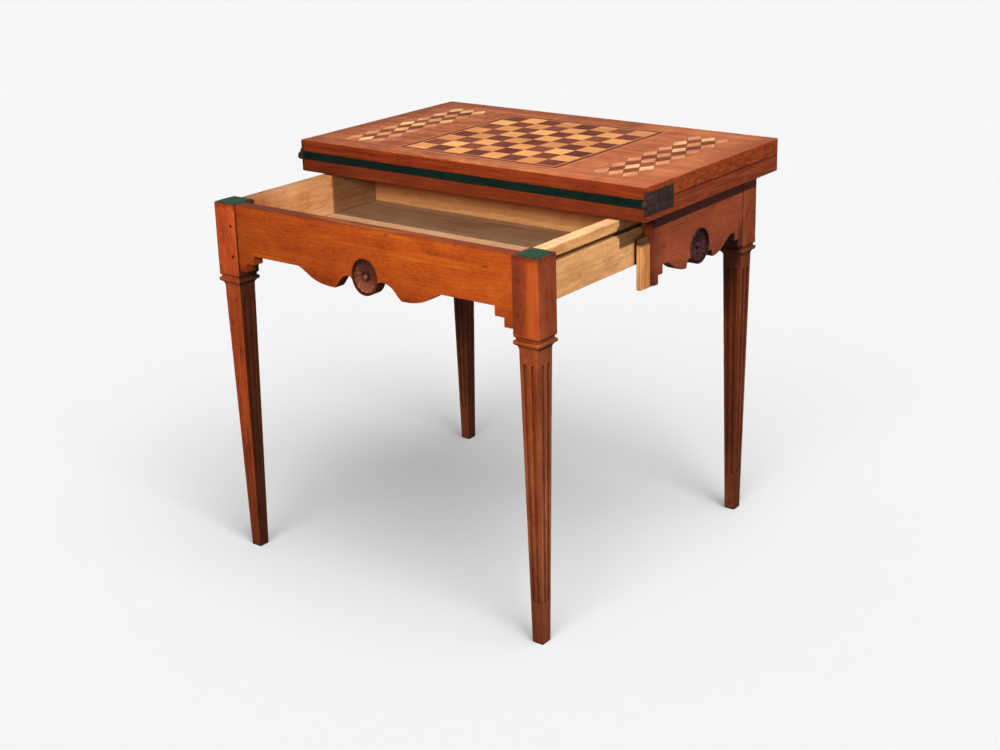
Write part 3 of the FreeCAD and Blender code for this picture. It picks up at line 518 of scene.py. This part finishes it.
M["light"] = wood("veneer_light", "X", srgb(164, 94, 46), srgb(203, 135, 70), srgb(222, 162, 96), seed=10.3, tile=SQ, **INLAY)
M["dark"] = wood("veneer_dark", "Y", srgb(74, 30, 18), srgb(106, 47, 27), srgb(130, 64, 40), seed=11.2, tile=SQ, **INLAY)
M["string_light"] = wood("stringing_light", "X", srgb(150, 80, 42), srgb(182, 106, 60), srgb(200, 128, 80), seed=12.5, **INLAY)
M["string_dark"] = wood("stringing_dark", "X", srgb(52, 20, 10), srgb(80, 33, 17), srgb(104, 48, 27), seed=13.1, **INLAY)
M["cream"] = wood("lozenge_cream", "Y", srgb(182, 126, 74), srgb(209, 158, 102), srgb(224, 180, 126), seed=14.4, tile=LZ, paint=paint_lozenge, **INLAY)
M["tan"] = wood("lozenge_tan", "Y", srgb(156, 90, 54), srgb(188, 120, 79), srgb(206, 142, 100), seed=15.7, tile=LZ, paint=paint_lozenge, **INLAY)
M["brown"] = wood("lozenge_brown", "Y", srgb(84, 35, 15), srgb(121, 54, 24), srgb(149, 75, 37), seed=16.2, tile=LZ, paint=paint_lozenge_fill, **INLAY)


def baize(name, lo, mid, hi):
    t = Tree(name)
    big = t.noise(t.mapping((14, 14, 14)), 3.0, 0.6)
    nap = t.noise(t.mapping((1500, 1500, 1500)), 3.0, 0.7)
    clump = t.noise(t.mapping((260, 260, 260)), 3.0, 0.65)
    f = t.math("MULTIPLY_ADD", t.math("SUBTRACT", big, 0.5), 0.4, 0.5)
    f = t.math("MULTIPLY_ADD", t.math("SUBTRACT", clump, 0.5), 0.9, f)
    f = t.math("MULTIPLY_ADD", t.math("SUBTRACT", nap, 0.5), 0.6, f)
    col = t.ramp(f, [(0.25, lo), (0.5, mid), (0.8, hi)])
    # painted shade darkening the cloth in its hollows and folds
    col = t.mix(t.grey(t.ao(0.004), 0.3, 0.5, 0.9, 0.0), col, srgb(4, 10, 8))
    h = t.math("MULTIPLY_ADD", clump, 0.6, nap)
    m = t.finish(col, 0.95, t.bump(h, 0.6, 0.0006), spec=0.1, sheen=0.12)
    t.bsdf.inputs["Sheen Roughness"].default_value = 0.6
    t.bsdf.inputs["Sheen Tint"].default_value = srgb(90, 150, 120)
    return m


def iron():
    t = Tree("dark_iron")
    a = t.noise(t.mapping((60, 60, 60)), 5.0, 0.65)
    b = t.noise(t.mapping((420, 420, 420)), 3.0, 0.6)
    f = t.math("MULTIPLY_ADD", t.math("SUBTRACT", b, 0.5), 0.5, a)
    col = t.ramp(f, [(0.3, srgb(34, 23, 21)), (0.52, srgb(52, 35, 31)), (0.75, srgb(72, 47, 38))])
    nb = t.bevel(0.0007)
    e = t.mul(t.grey(t.edge(nb), 0.80, 0.8, 0.98, 0.0), t.grey(b, 0.4, 0.2, 0.6, 1.0))
    col = t.mix(e, col, srgb(128, 112, 104))
    r = t.grey(f, 0.3, 0.5, 0.7, 0.75)
    return t.finish(col, r, t.bump(f, 0.3, 0.0008, nb), metallic=0.25, spec=0.3)


M["baize"] = baize("green_baize", srgb(5, 14, 11), srgb(10, 27, 22), srgb(20, 44, 35))
M["baize_pad"] = baize("green_baize_pad", srgb(9, 26, 17), srgb(19, 41, 28), srgb(32, 57, 41))
M["iron"] = iron()

WHICH = {
    "front_apron": "apron_front", "back_apron": "apron_back", "side_apron_left": "apron_side", "side_apron_right": "apron_side",
    "front_leg_left": "leg", "front_leg_right": "leg_right", "back_leg_left": "leg_back_left", "back_leg_right": "leg_back",
    "lower_leaf": "leaf_low", "upper_leaf": "leaf", "rail_left": "rail_left", "rail_right": "rail", "box_back": "board",
    "box_bottom": "floorboard", "tongue_left": "tongue", "tongue_right": "tongue", "runner_left": "rail",
    "runner_right": "rail", "squares_light": "light", "squares_dark": "dark", "stringing_inner": "string_light",
    "stringing_outer": "string_light", "stringing_dark": "string_dark", "lozenges_cream": "cream",
    "lozenges_tan": "tan", "lozenges_dark": "brown", "pegs_front": "peg", "pegs_frame": "peg_side",
    "hinge_lower_left": "iron", "hinge_lower_right": "iron", "hinge_upper_left": "iron", "hinge_upper_right": "iron",
    "hinge_pins": "iron", "hinge_screws_lower": "iron", "hinge_screws_upper": "iron",
}
for name, key in WHICH.items():
    ob = nodes[name]
    ob.data.materials.clear()
    ob.data.materials.append(M[key])


# ----------------------------------------------------------------------------
# pieces made here
# ----------------------------------------------------------------------------
def put_mesh(name, verts, faces, mat, body, node):
    me = bpy.data.meshes.new(name)
    me.from_pydata(verts, [], faces)
    me.validate()
    me.polygons.foreach_set("use_smooth", [True] * len(me.polygons))
    me.materials.append(mat)
    me.update()
    ob = bpy.data.objects.new(name, me)
    scene.collection.objects.link(ob)
    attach(ob, body)
    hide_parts(node)
    return ob


def slab(top, bot):
    """A closed thin mesh from two grids of points."""
    n, m = len(top), len(top[0])
    verts = [p for row in top for p in row] + [p for row in bot for p in row]
    k = n * m
    faces = []
    for i in range(n - 1):
        for j in range(m - 1):
            a, b, c, d = i * m + j, (i + 1) * m + j, (i + 1) * m + j + 1, i * m + j + 1
            faces.append((a, b, c, d))
            faces.append((k + d, k + c, k + b, k + a))
    for i in range(n - 1):
        for j in (0, m - 1):
            a, b = i * m + j, (i + 1) * m + j
            faces.append((a, k + a, k + b, b) if j == 0 else (b, k + b, k + a, a))
    for j in range(m - 1):
        for i in (0, n - 1):
            a, b = i * m + j, i * m + j + 1
            faces.append((b, k + b, k + a, a) if i == 0 else (a, k + a, k + b, b))
    return verts, faces


def noise1(*p):
    return noise.noise(Vector(p))


def cloth(name, node, body, sign):
    """Baize on the inner face of a leaf, brought over the hinge edge. sign is +1 for the lower leaf."""
    seam, y0, yb = 0.719, -0.100, 0.358
    bed = seam - sign * 0.00015
    stations = 158
    top, bot = [], []
    for i in range(stations + 1):
        x = -0.3896 + 0.7792 * i / stations
        ot, it = [], []
        back = yb - 0.0006 * abs(noise1(x * 30, 3.1 * sign, 0.0))
        for j in range(61):
            y = back + (y0 + 0.0032 - back) * j / 60.0
            sag = 0.00004 + 0.00022 * abs(noise1(x * 26, y * 26, 5.0 * sign))
            ot.append((x, y, bed - sign * sag))
            it.append((x, max(y, y0 + 0.0036 + 0.00008 * (60 - j)), bed - sign * 0.00116))
        for j in range(1, 4):
            a = 0.5 * math.pi * j / 4.0
            ot.append((x, y0 + 0.0032 - 0.0010 * math.sin(a), bed - sign * (0.00006 + 0.0006 * (1 - math.cos(a)))))
            it.append((x, y0 + 0.0036 - 0.00002 * j, bed - sign * (0.00116 + 0.00004 * j)))
        end = 0.00715 + 0.00025 * noise1(x * 55, 1.7, sign)
        for j in range(0, 10):
            u = j / 9.0
            zz = 0.0007 + (end - 0.0007) * u
            puff = 0.0009 * (1.0 - u ** 3) + 0.0002 * noise1(x * 70, u * 0.6, 9.0 * sign)
            ot.append((x, y0 + 0.0022 - max(puff, -0.0004), bed - sign * zz))
            it.append((x, y0 + 0.00345, bed - sign * max(zz, 0.0013 + 0.00004 * j)))
        top.append(ot)
        bot.append(it)
    if sign < 0:
        top, bot = bot, top
    v, f = slab(top, bot)
    ob = put_mesh(name, v, f, M["baize"], body, node)
    return ob


cloth("baize_cloth_lower", "baize_lower", "base", 1.0)
cloth("baize_cloth_upper", "baize_upper", "top_leaf", -1.0)


def pad(name, node, seed):
    lo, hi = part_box(node)
    n = 30
    top, bot = [], []
    for i in range(n + 1):
        a, b = [], []
        for j in range(n + 1):
            u, v = 2.0 * i / n - 1.0, 2.0 * j / n - 1.0
            # a hand-cut square with soft corners
            k = 1.0 - 0.045 * (u * u) * (v * v)
            x = (lo.x + hi.x) / 2 + (hi.x - lo.x) / 2 * u * k + 0.0007 * noise1(v * 3.0, seed, u) * abs(u)
            y = (lo.y + hi.y) / 2 + (hi.y - lo.y) / 2 * v * k + 0.0007 * noise1(u * 3.0, seed + 4.0, v) * abs(v)
            rim = max(abs(u), abs(v)) ** 14
            a.append((x, y, hi.z - 0.0007 * rim - 0.00025 * abs(noise1(u * 4.0, v * 4.0, seed))))
            b.append((x, y, lo.z))
        top.append(a)
        bot.append(b)
    v, f = slab(top, bot)
    ob = put_mesh(name, v, f, M["baize_pad"], "front_frame", node)


pad("cloth_pad_left", "leg_pad_left", 1.3)
pad("cloth_pad_right", "leg_pad_right", 7.9)


def rosette(name, node, body, centre, along, out, mat, kx=1.0):
    """A whirl of petals round a boss, hollowed below the face of the apron."""
    along, out, up = Vector(along), Vector(out), Vector((0, 0, 1))
    c = Vector(centre)
    nr, nt, petals, R = 62, 288, 15, 31.0
    verts, faces = [], []

    def height(r, a):
        wob = 0.22 * noise1(math.cos(a) * 2, math.sin(a) * 2, r * 0.2 + sum(centre) * 7)
        if r < 5.4:
            return -4.8 + 4.6 * math.sqrt(max(0.0, 1.0 - (r / 5.5) ** 2)) + 0.4 * wob
        if r < 8.6:
            return -5.6 + 0.4 * ((r - 7.0) / 1.6) ** 2
        if r > 29.6:
            return -5.0 + 0.8 * min(1.0, (r - 29.6) / 0.5)
        q = (r - 8.6) / 21.0
        ph = a - 0.42 * q ** 0.85
        s = (petals * ph / (2 * math.pi)) % 1.0
        p = max(0.0, math.sin(math.pi * s ** 0.8)) ** 0.55
        dish = -4.9 + 3.0 * q ** 1.5
        lip = min(1.0, max(0.0, 0.5 + 1.6 * math.cos(a - 0.9)))
        tip = 25.6 + 3.6 * (1.0 - lip) - 2.0 * (1.0 - p)
        amp = 0.9 + 1.5 * min(1.0, q)
        if r > 26.4 and lip > 0.5:
            # a plain rim over the petals
            k = (r - 28.0) / 1.6
            return -2.6 + (1.7 * lip) * (1.0 - k * k) + wob
        if r > tip:
            return -4.6 + 0.6 * wob
        rnd = math.sqrt(max(0.0, 1.0 - max(0.0, (r - tip + 4.5) / 4.7) ** 2))
        start = min(1.0, (r - 8.6) / 2.2)
        return dish - 0.5 + amp * p * (0.3 + 0.7 * rnd) * start - 0.3 * (1 - start) + wob

    def place(r, a, h):
        return tuple(c + along * (kx * r * math.cos(a) / 1000.0) + up * (r * math.sin(a) / 1000.0) + out * (h / 1000.0))

    verts.append(place(0, 0, height(0, 0)))
    for i in range(1, nr + 1):
        r = R * i / nr
        for j in range(nt):
            a = 2 * math.pi * j / nt
            verts.append(place(r, a, min(-0.15, height(r, a))))
    first = lambda i: 1 + (i - 1) * nt
    flip = along.cross(up).dot(out) < 0
    tri = lambda *f: faces.append(tuple(reversed(f)) if flip else f)
    for j in range(nt):
        tri(0, first(1) + j, first(1) + (j + 1) % nt)
    for i in range(1, nr):
        for j in range(nt):
            k = (j + 1) % nt
            tri(first(i) + j, first(i + 1) + j, first(i + 1) + k, first(i) + k)
    base = len(verts)
    for j in range(nt):
        verts.append(place(R, 2 * math.pi * j / nt, -5.95))
    mid = len(verts)
    verts.append(place(0, 0, -5.95))
    for j in range(nt):
        k = (j + 1) % nt
        tri(first(nr) + j, base + j, base + k, first(nr) + k)
        tri(base + j, mid, base + k)
    return put_mesh(name, verts, faces, M[mat], body, node)


rosette("carved_rosette_front", "rosette_front", "front_frame", (-0.006, -0.362, 0.598), (1, 0, 0), (0, -1, 0), "carved", 0.87)
rosette("carved_rosette_back", "rosette_back", "base", (0.006, 0.339, 0.598), (-1, 0, 0), (0, 1, 0), "carved_back", 0.87)
rosette("carved_rosette_right", "rosette_right", "base", (0.362, 0.13265, 0.591), (0, 1, 0), (1, 0, 0), "carved_side")
rosette("carved_rosette_left", "rosette_left", "base", (-0.362, 0.13265, 0.591), (0, -1, 0), (-1, 0, 0), "carved_side")


# ----------------------------------------------------------------------------
# floor, light, camera
# ----------------------------------------------------------------------------
def floor():
    me = bpy.data.meshes.new("studio_floor")
    s = 60.0
    me.from_pydata([(-s, -s, 0), (s, -s, 0), (s, s, 0), (-s, s, 0)], [], [(0, 1, 2, 3)])
    ob = bpy.data.objects.new("studio_floor", me)
    scene.collection.objects.link(ob)
    t = Tree("studio_floor")
    t.finish((0.62, 0.62, 0.62, 1), 0.9, None, spec=0.0)
    t.bsdf.inputs["Emission Color"].default_value = (1, 1, 1, 1)
    t.bsdf.inputs["Emission Strength"].default_value = 0.02
    me.materials.append(t.mat)
    # the floor takes shadows but throws no light back, as a dark studio floor under a white cut-out
    ob.visible_diffuse = False
    ob.visible_glossy = False
    ob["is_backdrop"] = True
    return ob


def backdrop():
    """A pale wall far off all round, so that a low view has no horizon."""
    me = bpy.data.meshes.new("studio_backdrop")
    n, r, h = 96, 55.0, 45.0
    ring = [(r * math.cos(2 * math.pi * i / n), r * math.sin(2 * math.pi * i / n)) for i in range(n)]
    me.from_pydata([(x, y, z) for z in (-0.5, h) for x, y in ring], [], [(i, (i + 1) % n, n + (i + 1) % n, n + i) for i in range(n)])
    ob = bpy.data.objects.new("studio_backdrop", me)
    scene.collection.objects.link(ob)
    t = Tree("studio_backdrop")
    t.finish((0.0, 0.0, 0.0, 1), 0.9, None, spec=0.0)
    t.bsdf.inputs["Emission Color"].default_value = (1, 1, 1, 1)
    t.bsdf.inputs["Emission Strength"].default_value = 0.92
    me.materials.append(t.mat)
    ob.visible_diffuse = ob.visible_glossy = ob.visible_shadow = ob.visible_transmission = False
    ob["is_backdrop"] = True


def sun(name, frm, strength, angle, lit, glossy=True, blocked_by=None):
    d = bpy.data.lights.new(name, "SUN")
    d.energy, d.angle = strength, math.radians(angle)
    o = bpy.data.objects.new(name, d)
    o.rotation_mode = "QUATERNION"
    o.rotation_quaternion = Vector(frm).to_track_quat("Z", "Y")
    scene.collection.objects.link(o)
    o.light_linking.receiver_collection = lit
    o.light_linking.blocker_collection = blocked_by
    o.visible_glossy = glossy


def box(name, at, to, watts, size, lit):
    d = bpy.data.lights.new(name, "AREA")
    d.energy, d.size = watts, size
    o = bpy.data.objects.new(name, d)
    o.location = at
    o.rotation_mode = "QUATERNION"
    o.rotation_quaternion = (Vector(at) - Vector(to)).to_track_quat("Z", "Y")
    scene.collection.objects.link(o)
    o.light_linking.receiver_collection = lit
    o.visible_camera = False
    o.visible_glossy = False


ground = floor()
backdrop()
on_table = bpy.data.collections.new("lit_table")
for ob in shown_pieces():
    on_table.objects.link(ob)
on_floor = bpy.data.collections.new("lit_floor")
on_floor.objects.link(ground)
on_most = bpy.data.collections.new("lit_most")
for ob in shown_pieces():
    if ob not in (nodes["front_leg_left"], nodes["back_leg_right"]):
        on_most.objects.link(ob)
sun("key", (0.70, 0.0, 0.71), 4.2, 2.2, on_most)
for name, power in (("front_leg_left", 1.4), ("back_leg_right", 2.4)):
    one = bpy.data.collections.new("lit_" + name)
    one.objects.link(nodes[name])
    sun("key_" + name, (0.70, 0.0, 0.71), power, 2.2, one)
box("front", (0.42, -1.46, 1.24), (0.0, -0.36, 0.62), 29.0, 0.36, on_table)
sun("back", (-0.62, 0.70, 0.35), 1.6, 50, on_table, glossy=False)
sun("floor_soft", (0.36, -0.16, 1.0), 2.02, 52, on_floor)
# two lower lamps on the floor give each foot its own soft shadow
legs = bpy.data.collections.new("leg_shadows")
for name in ("front_leg_left", "front_leg_right", "back_leg_left", "back_leg_right"):
    legs.objects.link(nodes[name])
sun("floor_right", (0.70, -0.33, 0.65), 1.73, 30, on_floor, blocked_by=legs)
sun("floor_front", (0.17, -0.74, 0.65), 1.26, 30, on_floor, blocked_by=legs)

world = bpy.data.worlds.new("studio")
world.use_nodes = True
wn, wl = world.node_tree.nodes, world.node_tree.links
tc, sep, mr = wn.new("ShaderNodeTexCoord"), wn.new("ShaderNodeSeparateXYZ"), wn.new("ShaderNodeValToRGB")
half = wn.new("ShaderNodeMath")
half.operation = "MULTIPLY_ADD"
half.inputs[1].default_value = 0.5
half.inputs[2].default_value = 0.5
for el, (p, v) in zip([mr.color_ramp.elements[0], mr.color_ramp.elements.new(0.47), mr.color_ramp.elements.new(0.50), mr.color_ramp.elements.new(0.60),
                       mr.color_ramp.elements[-1]], ((0.0, 0.06), (0.47, 0.12), (0.50, 0.32), (0.60, 0.26), (1.0, 0.24))):
    el.position = p
    el.color = (v, v, v, 1.0)
wl.new(tc.outputs["Generated"], sep.inputs[0])
wl.new(sep.outputs["Z"], half.inputs[0])
wl.new(half.outputs[0], mr.inputs[0])
wl.new(mr.outputs["Color"], wn["Background"].inputs[0])
wn["Background"].inputs[1].default_value = 1.0
scene.world = world
scene.view_settings.view_transform = "Standard"
scene.view_settings.look = "None"

f_px, C = 1610.9463, (1.7845237, -2.3094774, 1.3724363)
yaw, pitch, roll = -0.6566, -0.3114, -0.0276
fwd = Vector((math.sin(yaw) * math.cos(pitch), math.cos(yaw) * math.cos(pitch), math.sin(pitch)))
right = fwd.cross(Vector((0, 0, 1))).normalized()
up = right.cross(fwd)
R = math.cos(roll) * right + math.sin(roll) * up
U = -math.sin(roll) * right + math.cos(roll) * up
cam = bpy.data.cameras.new("camera")
cam.sensor_width = 36.0
cam.lens = f_px / 1000.0 * 36.0
cam.shift_y = -0.06
cam.clip_end = 200.0
co = bpy.data.objects.new("camera", cam)
scene.collection.objects.link(co)
co.matrix_world = Matrix(((R.x, U.x, -fwd.x, C[0]), (R.y, U.y, -fwd.y, C[1]), (R.z, U.z, -fwd.z, C[2]), (0, 0, 0, 1)))
scene.camera = co
